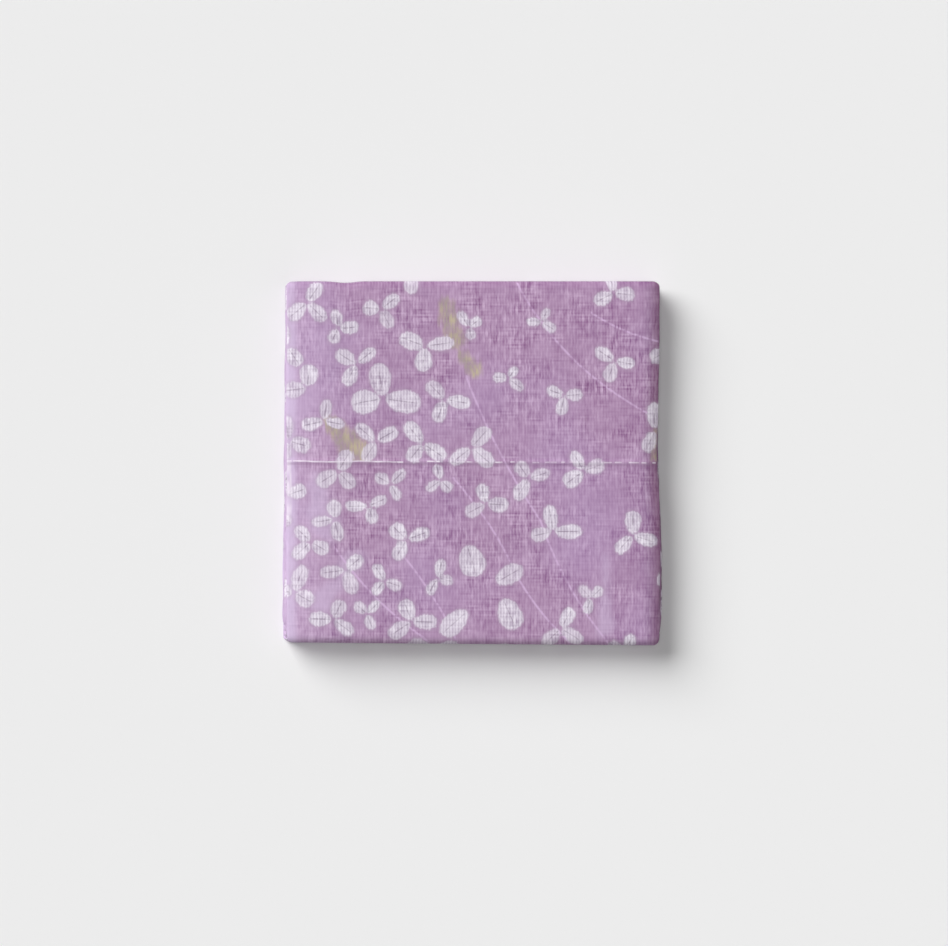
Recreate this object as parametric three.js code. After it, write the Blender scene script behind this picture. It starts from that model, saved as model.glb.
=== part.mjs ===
// A thin cotton hand towel, folded for the shelf. The cloth is folded in three across its width,
// which makes a long strip of three plies, and the strip is then halved three times along its length.
// Millimetres, +Z up, +Y to the back. The origin is the middle of the pack's foot.
import * as THREE from "three";

// Cloth and pack, the driving dimensions
const CLOTH_WIDTH = 345;
const CLOTH_LENGTH = 900;
const PANELS_ACROSS = 3;
const HALVINGS = 3;
const STRIP_THICKNESS = 1.2; // three plies lying together
const LAYER_GAP = 0.35; // air between one layer of the strip and the next

// Fold shapes
const CORNER_RADIUS = 1.7; // centreline radius where the strip turns round several layers
const FIRST_END_SETBACK = 1.6; // how far the cut ends stop short of the back
const LAST_END_SETBACK = 0.7;
const SIDE_ROUNDING = 0.4; // the strip's long sides are folded edges, not cut ones

// Pressed crease across the middle of the top layer
const CREASE_Y = 0.2;
const CREASE_HEIGHT = 0.25;
const CREASE_HALF_WIDTH = 1.2;

// How the pack settles, and where it is uneven
const LEFT_DROOP = 2; // the top falls away towards the left side
const LEFT_SPAN = 15;
const RIGHT_DROOP = 1.6;
const RIGHT_SPAN = 5.5;
const FRONT_SPREAD = 1.1; // the lower layers stand out at the sides near the front
const FRONT_SKEW = 0.9; // the front fold runs a little aslant
const BACK_NOTCH = { x: -39.5, depth: 0.6, halfWidth: 3.5 };
const RIGHT_WAVE = { crestY: 46, length: 78, height: 0.45, span: 12 }; // the right side is not straight
const FOLD_HOLD = 9; // this near to the folds the layers lie as one, not each askew
const PLAN_ROUNDING = 2.6; // the pack's four corners are soft, seen from above

// Looks of the plain solid
const GROUND_PURPLE = 0xb292b4;
const COTTON_ROUGHNESS = 0.92;

// Mesh steps
const RUN_STATIONS = 7; // points along each layer, between its two folds
const CORNER_STEPS = 3; // for each quarter turn
const WIDTH_STEPS = 14;
const ROUNDING_STEPS = 1;

const PACK_WIDTH = CLOTH_WIDTH / PANELS_ACROSS;
const PACK_DEPTH = CLOTH_LENGTH / 2 ** HALVINGS;
const LAYER_COUNT = 2 ** HALVINGS;
const LAYER_PITCH = STRIP_THICKNESS + LAYER_GAP;
const PACK_HEIGHT = LAYER_COUNT * LAYER_PITCH - LAYER_GAP;
const FRONT = -1;
const BACK = 1;
const SAME = 1e-6; // two sizes closer than this are one size

// The strip from its first cut end to its last, one row for each fold. Layers count up from the foot,
// nested is how many other folds lie outside this one on the same side, and short is how far the fold
// stops from its even place.
const FOLDS = [
  { side: FRONT, from: 2, to: 7, nested: 1, short: 0.1 },
  { side: BACK, from: 7, to: 6, nested: 1, short: 0.5 },
  { side: FRONT, from: 6, to: 3, nested: 2, short: 0.2 },
  { side: BACK, from: 3, to: 4, nested: 0, short: 0.9 },
  { side: FRONT, from: 4, to: 5, nested: 3, short: 0.4 },
  { side: BACK, from: 5, to: 8, nested: 0, short: 0 },
  { side: FRONT, from: 8, to: 1, nested: 0, short: 0 },
];

// How each layer lies askew on the pack: its shift to the right and its turn, from the foot up.
const LAYERS = [
  { shift: -0.35, turnDeg: 0.2 },
  { shift: 0.3, turnDeg: -0.15 },
  { shift: -0.25, turnDeg: 0.25 },
  { shift: 0.4, turnDeg: 0.05 },
  { shift: -0.4, turnDeg: -0.2 },
  { shift: 0.15, turnDeg: 0.2 },
  { shift: -0.3, turnDeg: -0.1 },
  { shift: 0.25, turnDeg: 0.1 },
];

const layerZ = (layer) => STRIP_THICKNESS / 2 + (layer - 1) * LAYER_PITCH;
const smooth = (t) => THREE.MathUtils.smoothstep(t, 0, 1);

// A point of the strip's centreline in the section plane, with the direction of the strip's outer face.
const station = (y, z, normalAngle) => ({ y, z, normalAngle });

// One fold: two quarter turns, with an upright stretch between them where it passes several layers.
function foldStations({ side, from, to, nested, short }) {
  const rise = layerZ(to) - layerZ(from);
  const up = Math.sign(rise);
  const radius = Math.min(CORNER_RADIUS, Math.abs(rise) / 2);
  const wallY = side * (PACK_DEPTH / 2 - STRIP_THICKNESS / 2 - nested * LAYER_PITCH - short);
  const centreY = wallY - side * radius;
  const turn = (centreZ, startShare) =>
    Array.from({ length: CORNER_STEPS + 1 }, (_, step) => {
      const swept = ((startShare + step / CORNER_STEPS) * Math.PI) / 2;
      const outY = side * Math.sin(swept);
      const outZ = -up * Math.cos(swept);
      // The strip's outer face stays on its right as it runs: inside a right turn, outside a left one.
      const outward = side * up;
      return station(
        centreY + radius * outY,
        centreZ + radius * outZ,
        Math.atan2(outward * outZ, outward * outY),
      );
    });
  const first = turn(layerZ(from) + up * radius, 0);
  const second = turn(layerZ(to) - up * radius, 1);
  const touching = Math.abs(rise) <= 2 * radius + SAME;
  return touching ? [...first, ...second.slice(1)] : [...first, ...second];
}

// Points along one layer, between the last point of one fold and the first of the next.
function runStations(start, end, normalAngle) {
  const evenly = Array.from({ length: RUN_STATIONS }, (_, i) => (i + 1) / (RUN_STATIONS + 1));
  const ys = evenly.map((share) => THREE.MathUtils.lerp(start.y, end.y, share));
  const isTop = Math.abs(start.z - layerZ(LAYER_COUNT)) < SAME;
  const crease = [-1, 0, 1].map((step) => CREASE_Y + step * CREASE_HALF_WIDTH);
  const clearOfCrease = (y) => Math.abs(y - CREASE_Y) > 2 * CREASE_HALF_WIDTH;
  const all = isTop ? [...ys.filter(clearOfCrease), ...crease] : ys;
  const direction = Math.sign(end.y - start.y);
  return all.sort((a, b) => direction * (a - b)).map((y) => station(y, start.z, normalAngle));
}

// The whole centreline, cut end to cut end.
function stripStations() {
  const folds = FOLDS.map(foldStations);
  const backY = PACK_DEPTH / 2;
  const firstEnd = station(backY - FIRST_END_SETBACK, layerZ(FOLDS[0].from), 0);
  const lastEnd = station(backY - LAST_END_SETBACK, layerZ(FOLDS.at(-1).to), 0);
  const path = [];
  let previous = firstEnd;
  for (const fold of [...folds, [lastEnd]]) {
    const angle = fold[0].y < previous.y ? Math.PI / 2 : -Math.PI / 2;
    if (previous === firstEnd) path.push({ ...firstEnd, normalAngle: angle });
    path.push(...runStations(previous, fold[0], angle));
    path.push(...(fold[0] === lastEnd ? [{ ...lastEnd, normalAngle: angle }] : fold));
    previous = fold.at(-1);
  }
  return path;
}

// The strip's section: out along one face of the centreline and back along the other.
function stripSection() {
  const half = STRIP_THICKNESS / 2;
  const path = stripStations();
  const face = (sign) =>
    path.map(
      ({ y, z, normalAngle }) =>
        new THREE.Vector2(
          y + sign * half * Math.cos(normalAngle),
          z + sign * half * Math.sin(normalAngle),
        ),
    );
  return new THREE.Shape([...face(1), ...face(-1).reverse()]);
}

// How far to the right a point lies with its layer, passing evenly from one layer to the next.
// Near the folds it passes evenly from the foot to the top instead.
function askew({ y, z }) {
  const shiftOf = ({ shift, turnDeg }) => shift - y * THREE.MathUtils.degToRad(turnDeg);
  const place = THREE.MathUtils.clamp((z - layerZ(1)) / LAYER_PITCH, 0, LAYER_COUNT - 1);
  const below = Math.min(Math.floor(place), LAYER_COUNT - 2);
  const own = THREE.MathUtils.lerp(shiftOf(LAYERS[below]), shiftOf(LAYERS[below + 1]), place - below);
  const asOne = THREE.MathUtils.lerp(shiftOf(LAYERS[0]), shiftOf(LAYERS.at(-1)), place / (LAYER_COUNT - 1));
  return THREE.MathUtils.lerp(asOne, own, smooth((PACK_DEPTH / 2 - Math.abs(y)) / FOLD_HOLD));
}

// Draws a point near one of the pack's four corners in to a rounded outline, seen from above.
function roundCorner(p) {
  const nearness = (inside) => THREE.MathUtils.clamp(1 - inside / PLAN_ROUNDING, 0, 1);
  const nearSide = nearness(PACK_WIDTH / 2 - Math.abs(p.x));
  const nearEnd = nearness(PACK_DEPTH / 2 - Math.abs(p.y));
  p.x -= Math.sign(p.x) * PLAN_ROUNDING * nearSide * (1 - Math.sqrt(1 - nearEnd ** 2 / 2));
  p.y -= Math.sign(p.y) * PLAN_ROUNDING * nearEnd * (1 - Math.sqrt(1 - nearSide ** 2 / 2));
}

// How far the top has fallen away this far inside a side, from 0 to 1: a round shoulder, steepest at the side.
const shoulder = (inside, span) => THREE.MathUtils.clamp(1 - inside / span, 0, 1) ** 2;

// Moves a point of the true, square pack to where the soft cloth lies.
function settle(p) {
  const level = p.z / PACK_HEIGHT;
  const fromLeft = PACK_WIDTH / 2 + p.x;
  const fromRight = PACK_WIDTH / 2 - p.x;
  const nearFront = smooth(0.5 - p.y / PACK_DEPTH);
  const nearBack = smooth((2 * p.y) / PACK_DEPTH);
  const side = (2 * p.x) / PACK_WIDTH;

  const creaseShare = Math.max(0, 1 - Math.abs(p.y - CREASE_Y) / CREASE_HALF_WIDTH);
  const isTopLayer = p.z > PACK_HEIGHT - LAYER_PITCH;
  const ridge = isTopLayer ? CREASE_HEIGHT * creaseShare : 0;
  const droop = LEFT_DROOP * shoulder(fromLeft, LEFT_SPAN) + RIGHT_DROOP * shoulder(fromRight, RIGHT_SPAN);
  const notch = Math.exp(-(((p.x - BACK_NOTCH.x) / BACK_NOTCH.halfWidth) ** 2));
  const shifted = askew(p);
  const waveReach = smooth(1 - fromRight / RIGHT_WAVE.span);
  const wave = RIGHT_WAVE.height * Math.cos((2 * Math.PI * (p.y - RIGHT_WAVE.crestY)) / RIGHT_WAVE.length);

  roundCorner(p);
  p.x += side * FRONT_SPREAD * nearFront * (1 - level) + shifted + wave * waveReach;
  p.y += -FRONT_SKEW * (side / 2) * nearFront - BACK_NOTCH.depth * notch * nearBack * level;
  p.z = p.z * (1 - droop / PACK_HEIGHT) + ridge;
  return p;
}

// Steps across the width lie closer together near the two sides, where the top bends most.
function gatherSteps(x, half) {
  const share = THREE.MathUtils.clamp(x / half, -1, 1);
  const gathered = Math.sign(share) * (1 - (1 - Math.abs(share)) ** 2);
  return half * gathered + (x - half * share);
}

function towelGeometry() {
  const depth = PACK_WIDTH - 2 * SIDE_ROUNDING;
  const geometry = new THREE.ExtrudeGeometry(stripSection(), {
    depth,
    steps: WIDTH_STEPS,
    bevelEnabled: true,
    bevelThickness: SIDE_ROUNDING,
    bevelSize: SIDE_ROUNDING,
    bevelOffset: -SIDE_ROUNDING,
    bevelSegments: ROUNDING_STEPS,
  });
  // The section's plane becomes YZ and the extrusion runs along X, centred.
  const [alongX, alongY, alongZ] = [0, 1, 2].map((i) => new THREE.Vector3().setComponent(i, 1));
  geometry.translate(0, 0, -depth / 2);
  geometry.applyMatrix4(new THREE.Matrix4().makeBasis(alongY, alongZ, alongX));

  const positions = geometry.getAttribute("position");
  const p = new THREE.Vector3();
  for (let i = 0; i < positions.count; i++) {
    p.fromBufferAttribute(positions, i);
    p.x = gatherSteps(p.x, depth / 2);
    settle(p);
    positions.setXYZ(i, p.x, p.y, p.z);
  }
  geometry.computeBoundingBox();
  const middle = geometry.boundingBox.getCenter(new THREE.Vector3());
  geometry.translate(-middle.x, -middle.y, -geometry.boundingBox.min.z);
  geometry.computeVertexNormals();
  return geometry;
}

const printedCotton = new THREE.MeshStandardMaterial({
  color: new THREE.Color(GROUND_PURPLE),
  roughness: COTTON_ROUGHNESS,
  metalness: 0,
});

const towel = new THREE.Mesh(towelGeometry(), printedCotton);
towel.name = "towel";

const foldedTowel = new THREE.Group();
foldedTowel.name = "folded_towel";
foldedTowel.add(towel);

export default foldedTowel;
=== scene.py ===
"""A thin cotton hand towel, folded for the shelf: a printed purple cloth, 345 by 900 mm when it is flat.

The cloth is one sheet. It is folded in three across its width, which makes a long strip of three plies, and
the strip is then halved three times along its length. Each point of the sheet has two places: one on the
flat cloth, where the weave and the leaf print are laid out, and one in the folded pack. Sizes are in
millimetres until the mesh is made, which is in metres.
"""

import logging
import math
from dataclasses import dataclass, field, replace
from enum import Enum

import bpy
import numpy as np
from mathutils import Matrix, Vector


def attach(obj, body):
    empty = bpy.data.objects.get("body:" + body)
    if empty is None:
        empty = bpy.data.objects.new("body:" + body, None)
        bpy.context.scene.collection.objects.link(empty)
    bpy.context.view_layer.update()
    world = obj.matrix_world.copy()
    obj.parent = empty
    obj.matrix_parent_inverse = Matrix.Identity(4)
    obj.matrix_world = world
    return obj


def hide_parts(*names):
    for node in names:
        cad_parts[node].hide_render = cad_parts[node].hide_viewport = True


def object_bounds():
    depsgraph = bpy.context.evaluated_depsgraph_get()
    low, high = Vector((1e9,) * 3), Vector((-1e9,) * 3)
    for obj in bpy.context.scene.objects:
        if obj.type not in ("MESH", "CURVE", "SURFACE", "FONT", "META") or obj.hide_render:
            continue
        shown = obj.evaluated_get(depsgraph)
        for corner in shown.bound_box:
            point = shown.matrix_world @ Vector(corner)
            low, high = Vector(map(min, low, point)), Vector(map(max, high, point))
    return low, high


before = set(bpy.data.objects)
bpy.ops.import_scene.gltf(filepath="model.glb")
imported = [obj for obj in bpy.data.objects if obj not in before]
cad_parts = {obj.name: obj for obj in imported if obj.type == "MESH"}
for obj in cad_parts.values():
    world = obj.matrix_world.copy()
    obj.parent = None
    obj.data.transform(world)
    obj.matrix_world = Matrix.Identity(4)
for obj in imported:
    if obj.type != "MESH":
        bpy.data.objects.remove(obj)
CAD_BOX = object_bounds()

MM = 0.001
FRAME_PIXELS = (948, 946)
CLOTH_WIDTH = 345.0
CLOTH_LENGTH = 900.0
PACK_WIDTH = CLOTH_WIDTH / 3
PACK_DEPTH = CLOTH_LENGTH / 8
NOTCH_X = -39.5  # the small notch in the back fold, measured to the right from the middle
WANDER_STRIDE = 7.31  # keeps the wanders and yarns of neighbouring numbers unlike
COARSE_STEP = 1000.0  # longer than any cell of the mesh, so that the cell stays whole
Array = np.ndarray
Colour = tuple[float, float, float, float]
Socket = bpy.types.NodeSocket
log = logging.getLogger("folded_towel")


def srgb(red: int, green: int, blue: int) -> Colour:
    """Turns a colour as a screen shows it into the linear one that light adds up in.

    Args:
        red: The red part, 0 to 255.
        green: The green part, 0 to 255.
        blue: The blue part, 0 to 255.

    Returns:
        The linear colour, with full alpha.
    """

    def linear(part: int) -> float:
        """One part of the colour, made linear."""
        share = part / 255
        return share / 12.92 if share <= 0.04045 else ((share + 0.055) / 1.055) ** 2.4

    return (linear(red), linear(green), linear(blue), 1.0)


def ease(share: Array) -> Array:
    """Eases a share from 0 to 1, level at both ends and clamped outside them."""
    held = np.clip(share, 0.0, 1.0)
    return held * held * (3.0 - 2.0 * held)


def wander(along: Array, seed: float) -> Array:
    """A slow, even wander between about -1 and 1.

    Args:
        along: Where to read it, with about one swing for each unit.
        seed: Which wander it is. Two seeds give two unlike ones.

    Returns:
        The wander at each place.
    """
    swings = ((1.0, 0.0, 0.5), (1.73, 2.1, 0.32), (2.91, 4.4, 0.18))
    turned = math.tau * along + WANDER_STRIDE * seed
    return sum(size * np.sin(rate * turned + phase) for rate, phase, size in swings)


class Side(Enum):
    """The two ends of the pack where the strip turns."""

    FRONT = -1
    BACK = 1


class Panel(Enum):
    """The stretches of the cloth across its width, from one selvedge to the other."""

    UNDER = "under"
    LEFT_FOLD = "left fold"
    FACE = "face"
    RIGHT_FOLD = "right fold"
    INNER = "inner"


@dataclass(frozen=True)
class Fold:
    """One turn of the strip, from one layer of the pack to another.

    Attributes:
        side: The end of the pack where it turns.
        start: The layer it leaves, counted up from the foot.
        end: The layer it comes to.
        nested: How many other folds lie outside it on that side.
        short: How far it stops from its even place.
    """

    side: Side
    start: int
    end: int
    nested: int
    short: float


FOLDS = (
    Fold(Side.FRONT, 2, 7, 1, 0.1),
    Fold(Side.BACK, 7, 6, 1, 0.5),
    Fold(Side.FRONT, 6, 3, 2, 0.2),
    Fold(Side.BACK, 3, 4, 0, 0.9),
    Fold(Side.FRONT, 4, 5, 3, 0.4),
    Fold(Side.BACK, 5, 8, 0, 0.0),
    Fold(Side.FRONT, 8, 1, 0, 0.0),
)
BACK_TURN = FOLDS[3]
BACK_WRAP = FOLDS[5]
FRONT_WRAP = FOLDS[6]
Tag = Panel | int | Fold


@dataclass(frozen=True)
class Lie:
    """How one layer lies askew on the pack: its shift to the right, and its turn in degrees."""

    shift: float
    turn: float


@dataclass(frozen=True)
class Stretch:
    """A straight or round stretch of a route.

    Attributes:
        tag: What the stretch is: a panel, a layer's number, or a fold.
        at: Where it starts.
        heading: Which way it starts, in radians.
        length: How long it is.
        bend: How fast it turns left, in radians for each millimetre.
        marks: Where its mesh lines lie along it, from 0 to its length.
    """

    tag: Tag
    at: tuple[float, float]
    heading: float
    length: float
    bend: float
    marks: Array

    def follow(self, distance: Array) -> tuple[Array, Array, Array]:
        """Finds points along the stretch.

        Args:
            distance: How far along each point lies.

        Returns:
            The two coordinates of each point, and its heading.
        """
        heading = self.heading + self.bend * distance
        if self.bend == 0.0:
            first = self.at[0] + distance * math.cos(self.heading)
            second = self.at[1] + distance * math.sin(self.heading)
        else:
            first = self.at[0] + (np.sin(heading) - math.sin(self.heading)) / self.bend
            second = self.at[1] - (np.cos(heading) - math.cos(self.heading)) / self.bend
        return first, second, heading


@dataclass
class Route:
    """A line through a plane, laid down stretch by stretch."""

    at: tuple[float, float]
    heading: float
    stretches: list[Stretch] = field(default_factory=list)

    def _add(self, tag: Tag, bend: float, marks: Array) -> None:
        """Lays one more stretch, from where the last one ended.

        Args:
            tag: What the stretch is.
            bend: How fast it turns left, in radians for each millimetre.
            marks: Where its mesh lines lie along it, the last of them at its end.
        """
        stretch = Stretch(tag, self.at, self.heading, float(marks[-1]), bend, marks)
        first, second, heading = stretch.follow(marks[-1:])
        self.stretches.append(stretch)
        self.at = (float(first[0]), float(second[0]))
        self.heading = float(heading[0])

    def run(self, tag: Tag, marks: Array) -> None:
        """Lays a straight stretch with mesh lines at these distances, the last of which is its end."""
        self._add(tag, 0.0, marks)

    def turn(self, tag: Tag, quarter_turns: float, radius: float, steps: int) -> None:
        """Lays a round stretch.

        Args:
            tag: What the stretch is.
            quarter_turns: How far it turns, to the left if positive.
            radius: The radius of its turn.
            steps: How many mesh steps it is made in.
        """
        angle = quarter_turns * math.pi / 2
        length = abs(angle) * radius
        self._add(tag, angle / length, np.linspace(0.0, length, steps + 1))

    @property
    def length(self) -> float:
        """The whole length of the route."""
        return sum(stretch.length for stretch in self.stretches)

    def lines(self) -> tuple[Array, list[Tag]]:
        """Finds the route's mesh lines.

        Returns:
            How far along each line lies, and the tag of the step after each line but the last.
        """
        start, found, tags = 0.0, [np.zeros(1)], []
        for stretch in self.stretches:
            found.append(start + stretch.marks[1:])
            tags += [stretch.tag] * (len(stretch.marks) - 1)
            start += stretch.length
        return np.concatenate(found), tags

    def start_of(self, tag: Tag) -> float:
        """Finds where a part of the route starts.

        Args:
            tag: What the part is.

        Returns:
            How far along the route the first stretch with this tag starts.
        """
        before = 0.0
        for stretch in self.stretches:
            if stretch.tag == tag:
                return before
            before += stretch.length
        raise KeyError(tag)

    def follow(self, distance: Array) -> tuple[Array, Array, Array]:
        """Finds points along the route.

        Args:
            distance: How far along each point lies.

        Returns:
            The two coordinates of each point, and its heading.
        """
        found = np.zeros((3, *distance.shape))
        start = 0.0
        for stretch in self.stretches:
            inside = distance >= start if start else np.ones(distance.shape, bool)
            found[:, inside] = stretch.follow(distance[inside] - start)
            start += stretch.length
        return found[0], found[1], found[2]


@dataclass(frozen=True)
class MeshStep:
    """How wide the mesh steps are at a line, and how fast they grow away from it."""

    width: float
    growth: float

    def at(self, away: float) -> float:
        """The step this far away from the line."""
        return self.width + self.growth * max(0.0, away)


@dataclass
class Strip:
    """The cloth folded in three across its width, in the plane across the strip.

    The outer ply is the face that shows on the pack. The second ply wraps round the left side to lie
    underneath, and the third turns in at the right side to lie between them.
    """

    width: float = PACK_WIDTH
    ply_pitch: float = 0.45
    cloth_thickness: float = 0.3
    under_setback: float = 1.3
    inner_setback: float = 1.6
    fold_steps: int = 6
    widest_step: float = 13.0
    longest_last_step: float = 1.4
    closest_lines: float = 0.3
    left_steps: MeshStep = MeshStep(1.1, 0.13)
    left_bend_reach: float = 16.0
    right_steps: MeshStep = MeshStep(0.9, 0.22)
    right_bend_reach: float = 8.0
    notch_steps: MeshStep = MeshStep(2.2, 0.9)
    notch: float = NOTCH_X
    notch_reach: float = 7.0

    def _step_at(self, x: float) -> float:
        """Finds how wide a mesh step may be where the plies bend together.

        Args:
            x: The place across the strip.

        Returns:
            The widest step there.
        """
        from_left, from_right = self.width / 2 + x, self.width / 2 - x
        left = self.left_steps.at(from_left) if from_left < self.left_bend_reach else self.widest_step
        right = self.right_steps.at(from_right) if from_right < self.right_bend_reach else self.widest_step
        notch = self.notch_steps.at(abs(x - self.notch) - self.notch_reach / 2)
        return min(left, right, notch, self.widest_step)

    def _places(self) -> Array:
        """Sets out the mesh lines across one panel.

        Returns:
            Their places, from the left side to the right.
        """
        half = self.width / 2
        places = [-half]
        for stop in (half - self.right_bend_reach, half):
            while places[-1] < stop:
                reach, step = stop - places[-1], self._step_at(places[-1])
                places.append(places[-1] + (reach if reach < self.longest_last_step * step else step))
        return np.array(places)

    def _marks(self, start: float, end: float) -> Array:
        """Finds the mesh lines of a panel.

        Args:
            start: Where across the strip the panel starts.
            end: Where it ends.

        Returns:
            How far from its start each line lies.
        """
        low, high = min(start, end), max(start, end)
        places = self._places()
        within = places[(places > low + self.closest_lines) & (places < high - self.closest_lines)]
        ordered = np.concatenate([[low], within, [high]])
        return ordered - low if end > start else (high - ordered)[::-1]

    def route(self) -> Route:
        """Lays the cloth's width into the strip.

        Returns:
            The route from the selvedge of the ply underneath to that of the inner ply. Its first coordinate
            is across the strip and its second is out through the plies, towards the face.
        """
        half, wrap, tuck = self.width / 2, self.ply_pitch, self.ply_pitch / 2
        route = Route((half - self.under_setback, -self.ply_pitch), math.pi)
        route.run(Panel.UNDER, self._marks(half - self.under_setback, wrap - half))
        route.turn(Panel.LEFT_FOLD, -2, wrap, self.fold_steps)
        route.run(Panel.FACE, self._marks(wrap - half, half - tuck))
        route.turn(Panel.RIGHT_FOLD, -2, tuck, self.fold_steps)
        route.run(Panel.INNER, self._marks(half - tuck, self.inner_setback - half))
        return route


@dataclass(frozen=True)
class Roll:
    """A soft swelling of the top: the lengths of its swings, which wander it is, and its share."""

    across: float
    along: float
    seed: float
    share: float


@dataclass
class Pack:
    """The strip halved three times along its length, in the plane along the pack, and how it settles.

    Attributes:
        lies: How each layer lies askew, from the foot up.
        rolls: The swellings of the top ply.
    """

    width: float = PACK_WIDTH
    depth: float = PACK_DEPTH
    strip_thickness: float = 1.2
    layer_gap: float = 0.35
    corner_radius: float = 1.7
    first_end_setback: float = 1.6
    last_end_setback: float = 0.7
    run_step: float = 10.6
    corner_steps: int = 4
    upright_steps: int = 3
    shortest_upright: float = 0.01
    crease_y: float = 0.2
    crease_height: float = 0.25
    crease_half_width: float = 1.2
    left_droop: float = 2.0
    left_span: float = 15.0
    right_droop: float = 1.6
    right_span: float = 5.5
    front_spread: float = 1.1
    front_skew: float = 0.9
    notch_x: float = NOTCH_X
    notch_depth: float = 0.6
    notch_half_width: float = 3.5
    wave_crest: float = 46.0
    wave_length: float = 78.0
    wave_height: float = 0.45
    wave_span: float = 12.0
    fold_hold: float = 9.0
    plan_rounding: float = 1.6
    side_wobble: float = 0.28
    left_swing: float = 46.0
    left_layer_swing: float = 0.83
    right_swing: float = 39.0
    right_layer_swing: float = 0.71
    puff: float = 0.32
    puff_inset: float = 9.0
    rolls: tuple[Roll, ...] = (
        Roll(47.0, 83.0, 3.0, 1.0),
        Roll(-91.0, 39.0, 4.0, 1.0),
        Roll(24.0, 24.0, 5.0, 0.4),
    )
    lies: tuple[Lie, ...] = (
        Lie(-0.35, 0.2),
        Lie(0.3, -0.15),
        Lie(-0.25, 0.25),
        Lie(0.4, 0.05),
        Lie(-0.4, -0.2),
        Lie(0.15, 0.2),
        Lie(-0.3, -0.1),
        Lie(0.25, 0.1),
    )

    @property
    def pitch(self) -> float:
        """From one layer to the next."""
        return self.strip_thickness + self.layer_gap

    @property
    def top(self) -> int:
        """The number of the highest layer."""
        return len(self.lies)

    @property
    def height(self) -> float:
        """From the foot to the top of the highest layer, before the pack settles."""
        return self.top * self.pitch - self.layer_gap

    def layer_z(self, layer: int) -> float:
        """The height of the middle of a layer."""
        return self.strip_thickness / 2 + (layer - 1) * self.pitch

    def _run_marks(self, layer: int, start: float, end: float) -> Array:
        """Finds the mesh lines of one layer, with closer ones at the top layer's crease.

        Args:
            layer: The layer's number.
            start: Where it starts, towards the back.
            end: Where it ends.

        Returns:
            How far from its start each line lies.
        """
        count = max(2, round(abs(end - start) / self.run_step))
        marks = np.linspace(0.0, abs(end - start), count + 1)
        if layer != self.top:
            return marks
        middle = abs(self.crease_y - start)
        crease = middle + self.crease_half_width * np.array([-1.0, -0.5, 0.0, 0.5, 1.0])
        clear = np.abs(marks - middle) > 2 * self.crease_half_width
        return np.sort(np.concatenate([marks[clear], crease]))

    def route(self) -> Route:
        """Lays the strip's length into the pack.

        Returns:
            The route from one cut end to the other. Its first coordinate is towards the back and its second
            is up.
        """
        back = self.depth / 2
        layer = FOLDS[0].start
        route = Route((back - self.first_end_setback, self.layer_z(layer)), math.pi)
        for fold in FOLDS:
            side = fold.side.value
            rise = self.layer_z(fold.end) - self.layer_z(fold.start)
            turning = side * math.copysign(1.0, rise)
            radius = min(self.corner_radius, abs(rise) / 2)
            wall = side * (back - self.strip_thickness / 2 - fold.nested * self.pitch - fold.short)
            route.run(fold.start, self._run_marks(fold.start, route.at[0], wall - side * radius))
            route.turn(fold, turning, radius, self.corner_steps)
            upright = abs(rise) - 2 * radius
            if upright > self.shortest_upright:
                route.run(fold, np.linspace(0.0, upright, self.upright_steps + 1))
            route.turn(fold, turning, radius, self.corner_steps)
        last = FOLDS[-1].end
        route.run(last, self._run_marks(last, route.at[0], back - self.last_end_setback))
        return route

    def _free(self, y: Array) -> Array:
        """How freely each layer lies askew here, from 0 at the folds, where the layers lie as one, to 1."""
        return ease((self.depth / 2 - np.abs(y)) / self.fold_hold)

    def _askew(self, y: Array, z: Array) -> Array:
        """Finds how far points lie askew: with their own layers, and with the whole pack at the folds.

        Args:
            y: How far back each point lies.
            z: How high.

        Returns:
            How far to the right each is moved.
        """
        heights = [self.layer_z(layer + 1) for layer in range(self.top)]
        shifts = [lie.shift for lie in self.lies]
        turns = [math.radians(lie.turn) for lie in self.lies]
        own = np.interp(z, heights, shifts) - y * np.interp(z, heights, turns)
        low_high, shift_ends, turn_ends = ((row[0], row[-1]) for row in (heights, shifts, turns))
        as_one = np.interp(z, low_high, shift_ends) - y * np.interp(z, low_high, turn_ends)
        return as_one + (own - as_one) * self._free(y)

    def _round_corners(self, x: Array, y: Array) -> tuple[Array, Array]:
        """Draws points near the pack's four corners in to a rounded outline, seen from above.

        Args:
            x: How far right each point lies.
            y: How far back.

        Returns:
            Where each point lies then.
        """
        near_side = np.clip(1 - (self.width / 2 - np.abs(x)) / self.plan_rounding, 0, 1)
        near_end = np.clip(1 - (self.depth / 2 - np.abs(y)) / self.plan_rounding, 0, 1)
        drawn_x = self.plan_rounding * near_side * (1 - np.sqrt(1 - near_end**2 / 2))
        drawn_y = self.plan_rounding * near_end * (1 - np.sqrt(1 - near_side**2 / 2))
        return x - np.sign(x) * drawn_x, y - np.sign(y) * drawn_y

    @staticmethod
    def _shoulder(inside: Array, span: float) -> Array:
        """How far the top has fallen away this far inside a side, from 0 to 1, steepest at the side."""
        return np.clip(1 - inside / span, 0, 1) ** 2

    def _sideways(self, x: Array, y: Array, z: Array) -> Array:
        """Finds how the pack's two sides wave and wander.

        Args:
            x: How far right each point lies.
            y: How far back.
            z: How high.

        Returns:
            How far to the right each point is moved.
        """
        side, layer = 2 * x / self.width, z / self.pitch
        left = wander(y / self.left_swing + self.left_layer_swing * layer, 1.0)
        right = wander(y / self.right_swing + self.right_layer_swing * layer, 2.0)
        uneven = left * np.clip(-side, 0, 1) ** 3 + right * np.clip(side, 0, 1) ** 3
        wave = self.wave_height * np.cos(math.tau * (y - self.wave_crest) / self.wave_length)
        wave = wave * ease(1 - (self.width / 2 - x) / self.wave_span)
        return wave + self.side_wobble * uneven * self._free(y)

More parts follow.
